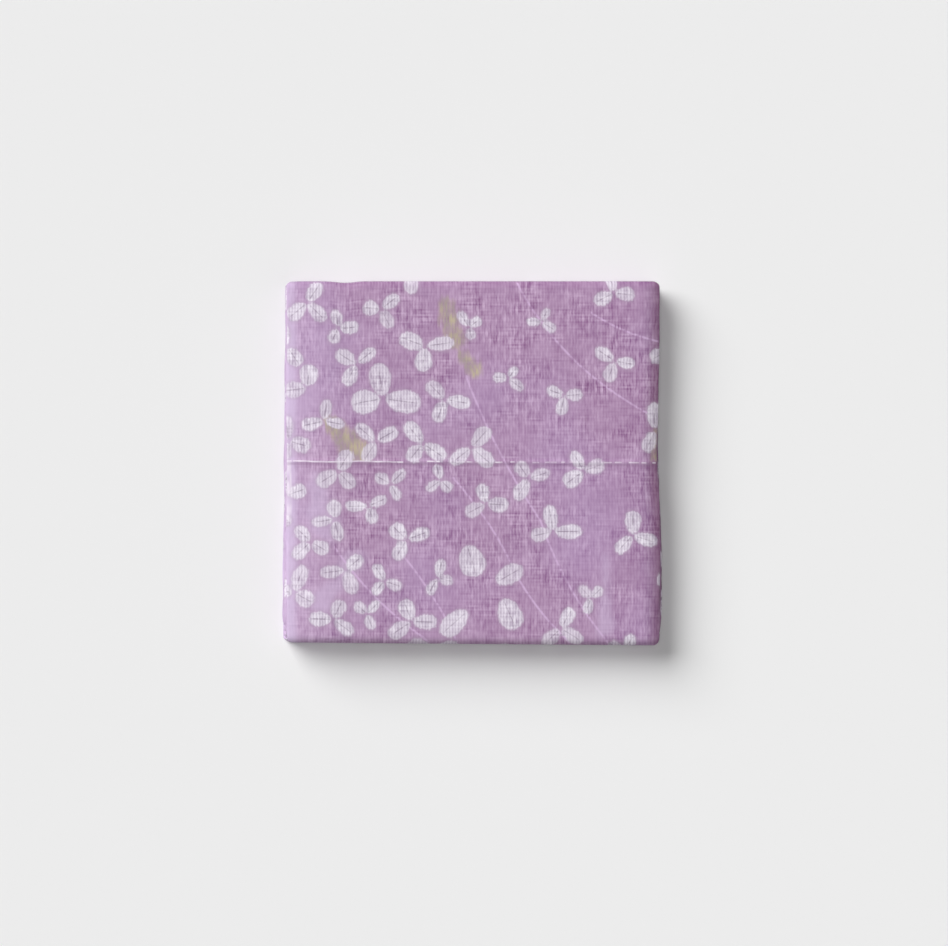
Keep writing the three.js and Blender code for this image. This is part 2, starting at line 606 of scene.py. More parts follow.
    def settle(self, x: Array, y: Array, z: Array) -> tuple[Array, Array, Array]:
        """Moves points of the true, square pack to where the soft cloth lies.

        Args:
            x: How far right each point lies.
            y: How far back.
            z: How high.

        Returns:
            The three coordinates where each point comes to lie.
        """
        level = z / self.height
        side = 2 * x / self.width
        near_front = ease(0.5 - y / self.depth)
        near_back = ease(2 * y / self.depth)

        crease = np.clip(1 - np.abs(y - self.crease_y) / self.crease_half_width, 0, None)
        ridge = np.where(z > self.height - self.pitch, self.crease_height * ease(crease), 0.0)
        droop = self.left_droop * self._shoulder(self.width / 2 + x, self.left_span)
        droop = droop + self.right_droop * self._shoulder(self.width / 2 - x, self.right_span)
        notch = self.notch_depth * np.exp(-(((x - self.notch_x) / self.notch_half_width) ** 2))

        rounded_x, rounded_y = self._round_corners(x, y)
        spread = side * self.front_spread * near_front * (1 - level)
        settled_x = rounded_x + spread + self._askew(y, z) + self._sideways(x, y, z)
        settled_y = rounded_y - self.front_skew * side / 2 * near_front - notch * near_back * level
        settled_z = z * (1 - droop / self.height) + ridge
        return settled_x, settled_y, settled_z

    def swell(self, x: Array, y: Array) -> Array:
        """Finds how far the top ply stands off the one under it, in soft, uneven swellings.

        Args:
            x: How far right each point lies.
            y: How far back.

        Returns:
            How far out each point stands, from nothing at the folds.
        """
        inside = ease((self.width / 2 - np.abs(x)) / self.puff_inset)
        inside = inside * ease((self.depth / 2 - np.abs(y)) / self.puff_inset)
        rolling = sum(roll.share * wander(x / roll.across + y / roll.along, roll.seed) for roll in self.rolls)
        return self.puff * inside * (2 + np.clip(rolling, -2, 2)) / 4


@dataclass
class SheetGrid:
    """A grid of mesh lines on the flat cloth, with each cell cut finer where the cloth shows.

    Attributes:
        across: Where the lines lie across the cloth.
        along: Where they lie along it.
        finest: The most parts a cell's side is cut into, a power of two.
    """

    across: Array
    along: Array
    finest: int = 16

    def cut(self, step_across: Array, step_along: Array) -> tuple[Array, Array, list[list[int]], Array]:
        """Cuts the cells and joins their corners into faces.

        Args:
            step_across: The step wanted across each cell, cells across by cells along.
            step_along: The step wanted along each cell.

        Returns:
            The place of each corner across and along the cloth, the faces as rows of corners, and a map from
            the grid's finest places to corners, with -1 where there is none.
        """
        parts_across = self._power(np.diff(self.across)[:, None] / step_across)
        parts_along = self._power(np.diff(self.along)[None, :] / step_along)
        boxes = self._boxes(parts_across, parts_along)
        shape = ((len(self.across) - 1) * self.finest + 1, (len(self.along) - 1) * self.finest + 1)
        present = np.zeros(shape, bool)
        low_i, low_j, high_i, high_j = boxes.T
        for i, j in ((low_i, low_j), (high_i, low_j), (high_i, high_j), (low_i, high_j)):
            present[i, j] = True
        number = np.full(shape, -1, np.int64)
        corner_i, corner_j = np.nonzero(present)
        number[corner_i, corner_j] = np.arange(len(corner_i))
        faces = [self._face(number, *box) for box in boxes.tolist()]
        across = np.interp(corner_i / self.finest, np.arange(len(self.across)), self.across)
        along = np.interp(corner_j / self.finest, np.arange(len(self.along)), self.along)
        return across, along, faces, number

    def _power(self, ratio: Array) -> Array:
        """The power of two at or above each ratio, from 1 to the finest."""
        return np.clip(2 ** np.ceil(np.log2(np.maximum(ratio, 1.0))), 1, self.finest).astype(int)

    def _boxes(self, parts_across: Array, parts_along: Array) -> Array:
        """Cuts every cell into its parts.

        Args:
            parts_across: How many parts each cell is cut into across the cloth.
            parts_along: How many along it.

        Returns:
            The low and high finest places of each part, a row of four numbers for each.
        """
        found = []
        for i in range(parts_across.shape[0]):
            for j in range(parts_across.shape[1]):
                many_i, many_j = parts_across[i, j], parts_along[i, j]
                step_i, step_j = self.finest // many_i, self.finest // many_j
                low_i = i * self.finest + step_i * np.repeat(np.arange(many_i), many_j)
                low_j = j * self.finest + step_j * np.tile(np.arange(many_j), many_i)
                found.append(np.stack([low_i, low_j, low_i + step_i, low_j + step_j], axis=1))
        return np.concatenate(found)

    @staticmethod
    def _face(number: Array, low_i: int, low_j: int, high_i: int, high_j: int) -> list[int]:
        """Goes round one part of a cell.

        Args:
            number: The map from finest places to corners.
            low_i: The part's low place across the cloth.
            low_j: Its low place along the cloth.
            high_i: Its high place across.
            high_j: Its high place along.

        Returns:
            Its corners, with those that its finer neighbours set on its sides.
        """
        ring = np.concatenate(
            [
                number[low_i:high_i, low_j],
                number[high_i, low_j:high_j],
                number[high_i:low_i:-1, high_j],
                number[low_i, high_j:low_j:-1],
            ]
        )
        return ring[ring >= 0].tolist()


class PointBins:
    """Points of the flat cloth sorted into square bins, so that those near a place are found quickly."""

    SIDE = 8.0

    def __init__(self, across: Array, along: Array) -> None:
        """Sorts the points.

        Args:
            across: Where each point lies across the cloth.
            along: Where it lies along it.
        """
        self.across, self.along = across, along
        keys = np.stack([across // self.SIDE, along // self.SIDE], axis=1).astype(int)
        order = np.lexsort((keys[:, 1], keys[:, 0]))
        changes = np.flatnonzero(np.any(np.diff(keys[order], axis=0), axis=1)) + 1
        self._bins = {tuple(keys[group[0]]): group for group in np.split(order, changes)}

    def near(self, across: float, along: float, reach: float) -> Array:
        """Finds the points near a place.

        Args:
            across: Where the place lies across the cloth.
            along: Where it lies along it.
            reach: How far from it to look.

        Returns:
            The numbers of the points in the bins that come within reach.
        """
        low_i, high_i = int((across - reach) // self.SIDE), int((across + reach) // self.SIDE)
        low_j, high_j = int((along - reach) // self.SIDE), int((along + reach) // self.SIDE)
        touched = [(i, j) for i in range(low_i, high_i + 1) for j in range(low_j, high_j + 1)]
        groups = [self._bins[key] for key in touched if key in self._bins]
        return np.concatenate(groups) if groups else np.zeros(0, int)


@dataclass(frozen=True)
class Stem:
    """A thin stem of the print on the pack's face: its two ends, as right and back, and its bow to a side."""

    start: tuple[float, float]
    end: tuple[float, float]
    bow: float


@dataclass(frozen=True)
class Sprig:
    """Leaves of the print round one heart.

    Attributes:
        heart: Where the leaves meet, across and along the flat cloth, or right and back on the pack's face.
        facing: Which way its first leaf points, in degrees.
        size: The length of its leaves, as a share of a common leaf's.
        leaves: How many leaves it has.
    """

    heart: tuple[float, float]
    facing: float
    size: float
    leaves: int = 3


@dataclass(frozen=True)
class Patch:
    """A soft patch of another tone: its two ends on the pack's face, and its half width at each."""

    start: tuple[float, float]
    end: tuple[float, float]
    start_half: float
    end_half: float


@dataclass
class LeafPrint:
    """The resist print: pale three-leaved sprigs and thin stems, scattered over the whole cloth.

    Attributes:
        face_across: Where the middle of the pack's face lies across the flat cloth.
        face_along: Where it lies along the cloth.
        set_sprigs: The listed sprigs and large single leaves, as right and back on the pack's face.
        stems: The listed stems.
        olive_patches: Where the ply underneath shows through.
        pale_patches: Where the dye is faint.
    """

    face_across: float
    face_along: float
    cloth_width: float = CLOTH_WIDTH
    cloth_length: float = CLOTH_LENGTH
    face_width: float = PACK_WIDTH
    face_depth: float = PACK_DEPTH
    face_margin: float = 0.1
    seed: int = 65
    tries: int = 30000
    reach: float = 2.0
    close_spacing: float = 7.8
    open_spacing: float = 18.0
    common_spacing: float = 12.5
    opens_right: float = 0.62
    opens_back: float = 0.55
    opens_from: float = 0.12
    leaf_length: float = 6.3
    leaf_breadth: float = 4.15
    leaf_spread: float = 104.0
    leaf_room: float = 6.1
    leaf_swing: float = 6.0
    leaf_unevenness: float = 0.1
    tip_fullness: float = 0.16
    heart_gap: float = 0.55
    least_steepness: float = 1e-6
    size_spread: float = 0.16
    smallest: float = 0.74
    largest: float = 1.34
    short_share: float = 0.04
    whiteness: float = 0.93
    white_spread: float = 0.08
    least_white: float = 0.7
    stem_points: int = 17
    stem_past: float = 0.6
    stem_tries: int = 60
    stem_least: tuple[float, float] = (18.0, 40.0)
    stem_most: tuple[float, float] = (38.0, 70.0)
    stem_bow: float = 3.0
    stems_clear: tuple[float, float] = (0.62, 0.8)
    set_sprigs: tuple[Sprig, ...] = (
        Sprig((-28, 20), 94, 1.7),
        Sprig((-2, -25), -80, 1.75, 1),
        Sprig((6.5, -38), 24, 1.6, 1),
        Sprig((-1, -46), 226, 1.65, 1),
        Sprig((9, -42), -68, 1.6, 1),
    )
    stems: tuple[Stem, ...] = (
        Stem((14, 56), (58, 14), 5.0),
        Stem((-2, 27), (21, -18), 1.5),
        Stem((21, -18), (42, -56), 2.0),
        Stem((-6, -5), (14, -36), -1.5),
        Stem((14, -36), (30, -56), 1.0),
        Stem((-43, -27), (-14, -56), 2.0),
        Stem((-22, -29), (-5, -56), -1.0),
        Stem((37, 47), (58, 38), 1.0),
    )
    olive_patches: tuple[Patch, ...] = (
        Patch((-8.0, 49.5), (-5.6, 38.5), 2.2, 3.0),
        Patch((-3.6, 34.0), (0.8, 29.0), 1.4, 2.4),
        Patch((-44.5, 13.0), (-36.0, 3.0), 2.2, 4.2),
        Patch((57.0, 10.0), (57.3, 2.0), 0.6, 1.0),
    )
    pale_patches: tuple[Patch, ...] = (
        Patch((41.5, -30.0), (40.5, -52.0), 1.6, 3.2),
        Patch((-49.0, -4.0), (-46.0, -20.0), 2.0, 5.0),
        Patch((-36.0, -30.0), (-46.0, -44.0), 3.0, 4.0),
    )

    def on_cloth(self, x: float, y: float) -> tuple[float, float]:
        """Where a place on the pack's face lies on the flat cloth."""
        return self.face_across + x, self.face_along - y

    def _spacing(self, across: float, along: float) -> float:
        """Finds how far apart sprigs lie: closer at the near left of the pack's face than at its far right.

        Args:
            across: The place across the flat cloth.
            along: The place along it.

        Returns:
            The least distance between two hearts there.
        """
        right = (across - self.face_across) / self.face_width + 0.5
        back = (self.face_along - along) / self.face_depth + 0.5
        if not all(-self.face_margin < share < 1 + self.face_margin for share in (right, back)):
            return self.common_spacing
        openness = ease(np.array(self.opens_right * right + self.opens_back * back - self.opens_from))
        return self.close_spacing + (self.open_spacing - self.close_spacing) * float(openness)

    def _turns(self, sprig: Sprig) -> Array:
        """How far each leaf of a sprig is turned from its first, in degrees."""
        return np.array([0.0, self.leaf_spread, -self.leaf_spread])[: sprig.leaves]

    def _leaf_middles(self, sprig: Sprig) -> Array:
        """Finds the middle of each leaf of a sprig, before its leaves are made uneven.

        Args:
            sprig: The sprig.

        Returns:
            The places across and along the flat cloth, a row for each leaf.
        """
        turns = np.radians(sprig.facing + self._turns(sprig))
        reach = sprig.size * (self.heart_gap + self.leaf_length / 2)
        return np.array(sprig.heart) + reach * np.stack([np.cos(turns), -np.sin(turns)], axis=1)

    def sprigs(self) -> list[Sprig]:
        """Scatters the sprigs over the cloth, so that no leaf lies on another.

        Returns:
            The sprigs, the listed ones first.
        """
        draw = np.random.default_rng(self.seed)
        kept = [replace(sprig, heart=self.on_cloth(*sprig.heart)) for sprig in self.set_sprigs]
        hearts = np.array([sprig.heart for sprig in kept])
        middles = np.concatenate([self._leaf_middles(sprig) for sprig in kept])
        rooms = np.concatenate([np.full(sprig.leaves, sprig.size * self.leaf_room) for sprig in kept])
        places = draw.uniform((0, 0), (self.cloth_width, self.cloth_length), (self.tries, 2))
        facings = draw.uniform(0, 360, self.tries)
        sizes = np.clip(draw.normal(1.0, self.size_spread, self.tries), self.smallest, self.largest)
        short = draw.uniform(size=self.tries) < self.short_share
        for place, facing, size, is_short in zip(places, facings, sizes, short):
            if np.min(np.hypot(*(hearts - place).T)) < self._spacing(*place):
                continue
            sprig = Sprig((place[0], place[1]), facing, float(size), 2 if is_short else 3)
            mine = self._leaf_middles(sprig)
            apart = np.hypot(*(middles[:, None] - mine).transpose(2, 0, 1))
            if np.any(apart < (rooms[:, None] + size * self.leaf_room) / 2):
                continue
            kept.append(sprig)
            hearts = np.vstack([hearts, place])
            middles = np.vstack([middles, mine])
            rooms = np.append(rooms, np.full(sprig.leaves, size * self.leaf_room))
        return kept

    def measure(self, across: Array, along: Array) -> dict[str, Array]:
        """Measures the print at points of the flat cloth.

        Args:
            across: Where each point lies across the cloth.
            along: Where it lies along it.

        Returns:
            leaf, how far outside the nearest leaf each point is; rib, how far to one side of that leaf's
            midrib; tip, how far towards its tip, from 0 to 1; white, how strongly that leaf is bleached;
            stem, how far to one side of the nearest stem; near_stem, 1 beside a stem; and olive and faint,
            how far outside the nearest olive or pale patch.
        """
        count = len(across)
        found = {name: np.zeros(count) for name in ("rib", "tip", "stem", "near_stem")}
        found |= {name: np.full(count, self.reach) for name in ("leaf", "olive", "faint")}
        found["white"] = np.ones(count)
        points = PointBins(across, along)
        draw = np.random.default_rng(self.seed + 1)
        for sprig in self.sprigs():
            self._stamp_sprig(sprig, points, draw, found)
        for line in self._all_stems():
            self._stamp_stem(line, points, found)
        for name, patches in (("olive", self.olive_patches), ("faint", self.pale_patches)):
            for patch in patches:
                found[name] = np.minimum(found[name], self._outside(patch, points))
        return found

    def _stamp_sprig(
        self, sprig: Sprig, points: PointBins, draw: np.random.Generator, found: dict[str, Array]
    ) -> None:
        """Adds one sprig's leaves to what has been measured.

        Args:
            sprig: The sprig.
            points: The points that are measured.
            draw: Where the leaves' unevenness is drawn from.
            found: What has been measured so far, which this changes.
        """
        uneven = draw.normal(0.0, 1.0, (3, 4))
        for turn, (swing, longer, broader, paler) in zip(self._turns(sprig), uneven):
            facing = math.radians(sprig.facing + turn + self.leaf_swing * swing)
            length = self.leaf_length * sprig.size * (1 + self.leaf_unevenness * longer)
            breadth = self.leaf_breadth * sprig.size * (1 + self.leaf_unevenness * broader)
            away = np.array([math.cos(facing), -math.sin(facing)])
            middle = np.array(sprig.heart) + away * (self.heart_gap * sprig.size + length / 2)
            near = points.near(*middle, length / 2 + self.reach)
            right, down = points.across[near] - middle[0], points.along[near] - middle[1]
            forward = right * away[0] + down * away[1]
            aside = -right * away[1] + down * away[0]
            fullness = 1 + self.tip_fullness * np.clip(2 * forward / length, -1, 1)
            half_long, half_broad = length / 2, breadth / 2 * fullness
            ring = np.hypot(forward / half_long, aside / half_broad)
            steepness = np.hypot(forward / half_long**2, aside / half_broad**2)
            outside = (ring - 1) * ring / np.maximum(steepness, self.least_steepness)
            closer = outside < found["leaf"][near]
            changed = near[closer]
            found["leaf"][changed] = outside[closer]
            found["rib"][changed] = aside[closer]
            found["tip"][changed] = forward[closer] / length + 0.5
            white = self.whiteness + self.white_spread * paler
            found["white"][changed] = np.clip(white, self.least_white, 1.0)

    def _all_stems(self) -> list[Array]:
        """Lays every stem: those of the face as listed, and others drawn over the rest of the cloth.

        Returns:
            Each stem as rows of places across and along the cloth.
        """
        lines = []
        for stem in self.stems:
            start, end = np.array(self.on_cloth(*stem.start)), np.array(self.on_cloth(*stem.end))
            lines.append(self._bowed(start, end, stem.bow))
        face = np.array([self.face_across, self.face_along])
        face_room = np.array(self.stems_clear) * (self.face_width, self.face_depth)
        draw = np.random.default_rng(self.seed + 2)
        for _ in range(self.stem_tries):
            start = draw.uniform((0, 0), (self.cloth_width, self.cloth_length))
            end = start + draw.uniform(self.stem_least, self.stem_most)
            if np.any(np.abs((start + end) / 2 - face) > face_room):
                lines.append(self._bowed(start, end, draw.uniform(-self.stem_bow, self.stem_bow)))
        return lines

    def _bowed(self, start: Array, end: Array, bow: float) -> Array:
        """Lays a line that bows to one side.

        Args:
            start: Where it starts.
            end: Where it ends.
            bow: How far its middle lies to the side.

        Returns:
            Places along it, a row for each.
        """
        share = np.linspace(0.0, 1.0, self.stem_points)[:, None]
        run = end - start
        aside = np.array([-run[1], run[0]]) / np.hypot(*run)
        return start + run * share + aside * (4 * bow * share * (1 - share))

    def _stamp_stem(self, line: Array, points: PointBins, found: dict[str, Array]) -> None:
        """Adds one stem to what has been measured.

        Args:
            line: Places along the stem, a row for each.
            points: The points that are measured.
            found: What has been measured so far, which this changes.
        """
        for start, run in zip(line[:-1], np.diff(line, axis=0)):
            length = float(np.hypot(*run))
            near = points.near(*(start + run / 2), length / 2 + self.reach)
            right, down = points.across[near] - start[0], points.along[near] - start[1]
            forward = (right * run[0] + down * run[1]) / length
            aside = (down * run[0] - right * run[1]) / length
            past = np.maximum(np.maximum(-forward, forward - length), 0.0)
            away = np.hypot(aside, past)
            held = np.where(found["near_stem"][near] > 0, np.abs(found["stem"][near]), self.reach)
            closer = (away < held) & (past < self.stem_past)
            changed = near[closer]
            found["stem"][changed] = np.where(aside[closer] < 0, -away[closer], away[closer])
            found["near_stem"][changed] = 1.0

    def _outside(self, patch: Patch, points: PointBins) -> Array:
        """Measures points against a patch.

        Args:
            patch: The patch.
            points: The points that are measured.

        Returns:
            How far each point lies outside it.
        """
        start = np.array(self.on_cloth(*patch.start))
        run = np.array(self.on_cloth(*patch.end)) - start
        right, down = points.across - start[0], points.along - start[1]
        share = np.clip((right * run[0] + down * run[1]) / (run @ run), 0, 1)
        away = np.hypot(right - share * run[0], down - share * run[1])
        return away - patch.start_half - (patch.end_half - patch.start_half) * share


@dataclass(frozen=True)
class Value:
    """A number that a material works out at each point, with its sums written as plain arithmetic.

    Attributes:
        bench: The nodes of the material.
        socket: The output that gives it.
    """

    bench: "NodeBench"
    socket: Socket

    def __add__(self, other: "Value | float") -> "Value":
        """This value and another together."""
        return self.bench.math("ADD", self, other)

    def __sub__(self, other: "Value | float") -> "Value":
        """This value less another."""
        return self.bench.math("SUBTRACT", self, other)

    def __mul__(self, other: "Value | float") -> "Value":
        """This value times another."""
        return self.bench.math("MULTIPLY", self, other)

    def __abs__(self) -> "Value":
        """This value without its sign."""
        return self.bench.math("ABSOLUTE", self)


class NodeBench:
    """A material's nodes, added one after another and wired as they are added."""

    def __init__(self, name: str) -> None:
        """Starts an empty material.

        Args:
            name: What the material is called.
        """
        self.material = bpy.data.materials.new(name)
        self.material.use_nodes = True
        self.tree = self.material.node_tree
        self.tree.nodes.clear()

    def add(self, kind: str, inputs: dict | None = None, **settings: object) -> bpy.types.Node:
        """Adds a node.

        Args:
            kind: The node's type.
            inputs: What goes into its sockets, by name or number: a constant, a value or an output.
            settings: The node's own settings.

        Returns:
            The node.
        """
        node = self.tree.nodes.new(kind)
        for name, setting in settings.items():
            setattr(node, name, setting)
        for key, given in (inputs or {}).items():
            source = given.socket if isinstance(given, Value) else given
            if isinstance(source, Socket):
                self.tree.links.new(source, node.inputs[key])
            else:
                node.inputs[key].default_value = source
        return node

    def math(self, operation: str, *values: Value | float) -> Value:
        """One sum of one or two values."""
        node = self.add("ShaderNodeMath", dict(enumerate(values)), operation=operation)
        return Value(self, node.outputs[0])

    def mix(self, share: Value, first: Socket | Colour, second: Socket | Colour) -> Socket:
        """Two colours mixed by a share."""
        return self.add("ShaderNodeMix", {0: share, 6: first, 7: second}, data_type="RGBA").outputs[2]

    def read(self, name: str) -> Value:
        """A number that the mesh carries at each point."""
        node = self.add("ShaderNodeAttribute", attribute_name=name, attribute_type="GEOMETRY")
        return Value(self, node.outputs["Fac"])


@dataclass(frozen=True)
class Ramp:
    """An eased step: low where a value is at start, and high where it is at end."""

    start: float
    end: float
    low: float = 0.0
    high: float = 1.0

    def of(self, value: Value) -> Value:
        """Finds where the step stands at a value.

        Args:
            value: The value that it follows.

        Returns:
            A value between low and high.
        """
        inputs = {"Value": value, "From Min": self.start, "From Max": self.end}
        inputs |= {"To Min": self.low, "To Max": self.high}
        node = value.bench.add("ShaderNodeMapRange", inputs, interpolation_type="SMOOTHSTEP")
        return Value(value.bench, node.outputs["Result"])


@dataclass(frozen=True)
class FlatPlace:
    """Where each point lies on the flat cloth, and the unevenness of the cloth there.

    Attributes:
        bench: The nodes of the material that reads it.
        across: How far across the cloth, in millimetres.
        along: How far along it.
    """

    bench: NodeBench
    across: Value
    along: Value

    @classmethod
    def read(cls, bench: NodeBench) -> "FlatPlace":
        """Reads the places that the mesh carries.

        Args:
            bench: The nodes of the material.

        Returns:
            The places.
        """
        flat = bench.add("ShaderNodeUVMap", uv_map="flat").outputs[0]
        parts = bench.add("ShaderNodeSeparateXYZ", {0: flat}).outputs
        return cls(bench, Value(bench, parts[0]) * (1 / MM), Value(bench, parts[1]) * (1 / MM))

    def _noise(self, first: Value, second: Value | float, detail: float) -> Value:
        """Reads smooth noise.

        Args:
            first: Where to read it one way, with a swing for each unit.
            second: Where to read it the other way.
            detail: How many finer swings lie on it.

        Returns:
            The noise, about 0.
        """
        point = self.bench.add("ShaderNodeCombineXYZ", {0: first, 1: second}).outputs[0]
        inputs = {"Vector": point, "Scale": 1.0, "Detail": detail}
        node = self.bench.add("ShaderNodeTexNoise", inputs, noise_dimensions="2D")
        return Value(self.bench, node.outputs[0]) - 0.5

    def _number(self, place: Value, width: float) -> Value:
        """The number of the yarn at a place, spread out so that two neighbours are unlike."""
        return self.bench.math("FLOOR", place * (1 / width)) * WANDER_STRIDE

    def grain(self, size: tuple[float, float], detail: float = 0.0) -> Value:
        """Noise whose swings are this wide across the cloth and this long along it."""
        return self._noise(self.across * (1 / size[0]), self.along * (1 / size[1]), detail)

    def line(self, length: float, row: float, detail: float) -> Value:
        """Noise that changes across the cloth alone, with swings this long. Two rows are unlike."""
        return self._noise(self.across * (1 / length), row, detail)

    def warp(self, width: float, length: float) -> Value:
        """Noise with one tone across each lengthwise yarn of this width, which drifts over this length."""
        return self._noise(self._number(self.across, width), self.along * (1 / length), 0.0)

    def weft(self, width: float, length: float) -> Value:
        """Noise with one tone across each crosswise yarn of this width, which drifts over this length."""
        return self._noise(self.across * (1 / length), self._number(self.along, width), 0.0)


@dataclass(frozen=True)
class ClothGrain:
    """How uneven the cloth is at each point.

    Attributes:
        yarns: The tone of each pair of lengthwise yarns.
        threads: The tone of each lengthwise yarn.
        picks: The tone of each crosswise yarn.
        patchy: How strongly the yarns show, which changes from patch to patch.
        streaks: The tones of all the yarns together.
        weave: How high the yarns stand, from -1 to 1.
        mottle: The dye's soft, broad unevenness.
    """

    yarns: Value
    threads: Value
    picks: Value
    patchy: Value
    streaks: Value
    weave: Value
    mottle: Value


@dataclass(frozen=True)
class FaceLines:
    """Where the lines round the pack's face lie on the flat cloth.

    Attributes:
        left: The fold at the left side, across the cloth.
        right: The fold at the right side, across the cloth.
        back: The start of the back fold, along the cloth.
        crease: The pressed crease, along the cloth.
    """

    left: float
    right: float
    back: float
    crease: float


@dataclass(frozen=True)
class DyedCotton:
    """Thin plain-weave cotton, dyed purple with the leaves and stems left pale.

    Distances from folds, patches, leaves and the crease are in millimetres, and the ramps read them.
    """

    # Colours
    ground_deep: Colour = srgb(134, 90, 134)
    ground_pale: Colour = srgb(203, 174, 204)
    ground_cool: Colour = srgb(182, 154, 197)
    # The paler ground of the faint patches and of the left fold, also its painted highlight
    ground_paler_and_highlight: Colour = srgb(210, 191, 221)
    ground_thin: Colour = srgb(168, 148, 169)
    # The reddish painted shade on the right fold
    fold_shade: Colour = srgb(116, 58, 90)
    leaf_pale: Colour = srgb(238, 231, 242)
    leaf_dim: Colour = srgb(176, 160, 182)
    rib: Colour = srgb(142, 128, 146)
    stem: Colour = srgb(210, 180, 216)
    olive_dim: Colour = srgb(166, 152, 146)
    olive_yellow: Colour = srgb(198, 188, 146)
    # The crease's pale line, and the painted highlight along the left fold
    crease: Colour = srgb(236, 226, 238)
    # Yarns: how far apart they lie, how soon their tones drift, and their shares of the streaks
    yarn_pitch: float = 0.94
    pick_pitch: float = 1.1
    yarn_drift: float = 5.0
    thread_drift: float = 2.2
    pick_drift: float = 7.0
    yarn_share: float = 0.5
    thread_share: float = 0.55
    pick_share: float = 0.4
    pick_dip: float = 0.22
    patch_size: tuple[float, float] = (13.0, 10.0)
    patchiness: Ramp = Ramp(-0.2, 0.2, 0.55, 1.3)
    # Ground: its middle tone, and what is uneven in it
    ground_level: float = 0.53
    mottle_size: tuple[float, float] = (11.0, 14.0)
    mottle_share: float = 0.35
    weave_share: float = 0.11
    cool_size: tuple[float, float] = (38.0, 46.0)
    cool_share: Ramp = Ramp(-0.1, 0.3, high=0.3)
    # Painted shade and a painted highlight near the folds, a paler tone towards the left fold, and faint
    # patches
    # Painted shade towards the right fold
    right_shade: Ramp = Ramp(30.0, 0.0, high=0.1)
    # Reddish painted shade on the right fold itself
    right_fold_shade: Ramp = Ramp(3.6, -0.6, high=0.42)
    # Painted shade along the back fold
    back_shade: Ramp = Ramp(4.2, 0.0, high=0.2)
    back_shade_inset: float = 2.6
    # Paler towards the left fold, less so near the back
    left_paling: Ramp = Ramp(22.0, -6.0, high=0.36)
    left_paling_ends: Ramp = Ramp(-PACK_DEPTH / 2, -34.0, 0.3, 1.0)
    left_paling_wander: float = 16.0
    # A painted highlight along the left fold's edge
    left_edge_highlight: Ramp = Ramp(3.8, 0.8, high=0.45)
    faint_patch: Ramp = Ramp(1.6, -2.6, high=0.42)
    faint_wander: float = 6.0
    # The painted highlight along the left fold, below the crease
    left_glint_edge: Ramp = Ramp(1.3, 0.5)
    left_glint_start: Ramp = Ramp(-0.3, 0.4)
    left_glint_end: Ramp = Ramp(24.0, 14.4)
    left_glint_breaks: Ramp = Ramp(-0.2, 0.15, 0.2, 0.6)
    # Leaves and stems
    leaf_level: float = 0.52
    leaf_streaks: float = 1.3
    leaf_weave: float = 0.24
    leaf_edge: Ramp = Ramp(0.3, -0.36)
    leaf_thread_fray: float = 0.8
    leaf_pick_fray: float = 0.5
    leaf_rim: Ramp = Ramp(1.2, 0.1, high=0.26)
    rib_line: Ramp = Ramp(0.3, 0.05)
    rib_root: Ramp = Ramp(0.04, 0.14)
    rib_tip: Ramp = Ramp(0.92, 0.74)
    rib_breaks: Ramp = Ramp(-0.15, 0.15, 0.72, 0.25)
    stem_line: Ramp = Ramp(0.5, 0.1)
    stem_near: Ramp = Ramp(0.6, 0.95)
    stem_breaks: Ramp = Ramp(-0.2, 0.12, 0.2, 0.8)
    # The ply underneath, where it shows through
    olive_patch: Ramp = Ramp(1.3, -1.3, high=0.9)
    olive_fray: float = 2.4
    olive_breaks: Ramp = Ramp(-0.2, 0.2, 0.55, 1.0)
    olive_end: Ramp = Ramp(0.0, -0.5)
    olive_grain: tuple[float, float] = (2.6, 6.0)
    olive_grain_share: float = 1.8
    olive_level: float = 0.22
    # The pressed crease: a line that swings a little, whole at the left and dashed further on
    crease_line: Ramp = Ramp(0.34, 0.08)
    crease_swing: float = 0.7
    crease_swing_length: float = 11.11
    crease_whole: Ramp = Ramp(22.0, 40.0, 0.3, 0.0)
    crease_dash_length: float = 1.7
    crease_dash_row: float = 3.7
    crease_dashes: Ramp = Ramp(-0.05, 0.09)
    crease_drift_length: float = 4.0
    crease_drift_row: float = 8.3
    crease_drift: Ramp = Ramp(-0.2, 0.2, 0.5, 0.95)
    crease_dim: Ramp = Ramp(40.0, 80.0, 1.0, 0.74)
    # Painted shade just in front of the crease
    crease_shade: Ramp = Ramp(0.7, 0.1, high=0.18)
    crease_shade_below: float = 0.95
    # Surface
    bump_weave: float = 0.25
    bump_streaks: float = 0.6
    bump_strength: float = 0.3
    bump_depth: float = 0.1
    roughness: float = 0.9
    specular: float = 0.2
    sheen: float = 0.05
    sheen_roughness: float = 0.5

    def material(self, face: FaceLines) -> bpy.types.Material:
        """Makes the cloth's material.

        Args:
            face: Where the folds and the crease round the pack's face lie on the flat cloth.

        Returns:
            The material, which reads the flat cloth's places and the print from the mesh.
        """
        bench = NodeBench("dyed_cotton")
        place = FlatPlace.read(bench)
        grain = self._grain(place)
        inward = place.across - face.left
        below = place.along - face.crease
        colour = self._ground(place, grain, face)
        colour = bench.mix(self._olive(bench, grain, below), colour, self._olive_colour(place, grain))
        colour = bench.mix(self._stem(bench, grain), colour, self.stem)
        colour = self._leaf(bench, grain, colour)
        # A painted highlight along the left fold, below the crease
        colour = bench.mix(self._left_glint(grain, abs(inward), below), colour, self.crease)
        colour = self._crease(place, inward, below, colour)

        height = grain.weave * self.bump_weave + grain.streaks * self.bump_streaks
        inputs = {"Strength": self.bump_strength, "Distance": self.bump_depth * MM, "Height": height}
        bump = bench.add("ShaderNodeBump", inputs)
        shader = bench.add(
            "ShaderNodeBsdfPrincipled",
            {
                "Base Color": colour,
                "Roughness": self.roughness,
                "Specular IOR Level": self.specular,
                "Sheen Weight": self.sheen,
                "Sheen Roughness": self.sheen_roughness,
                "Normal": bump.outputs[0],
            },
        )
        bench.add("ShaderNodeOutputMaterial", {"Surface": shader.outputs[0]})
        return bench.material

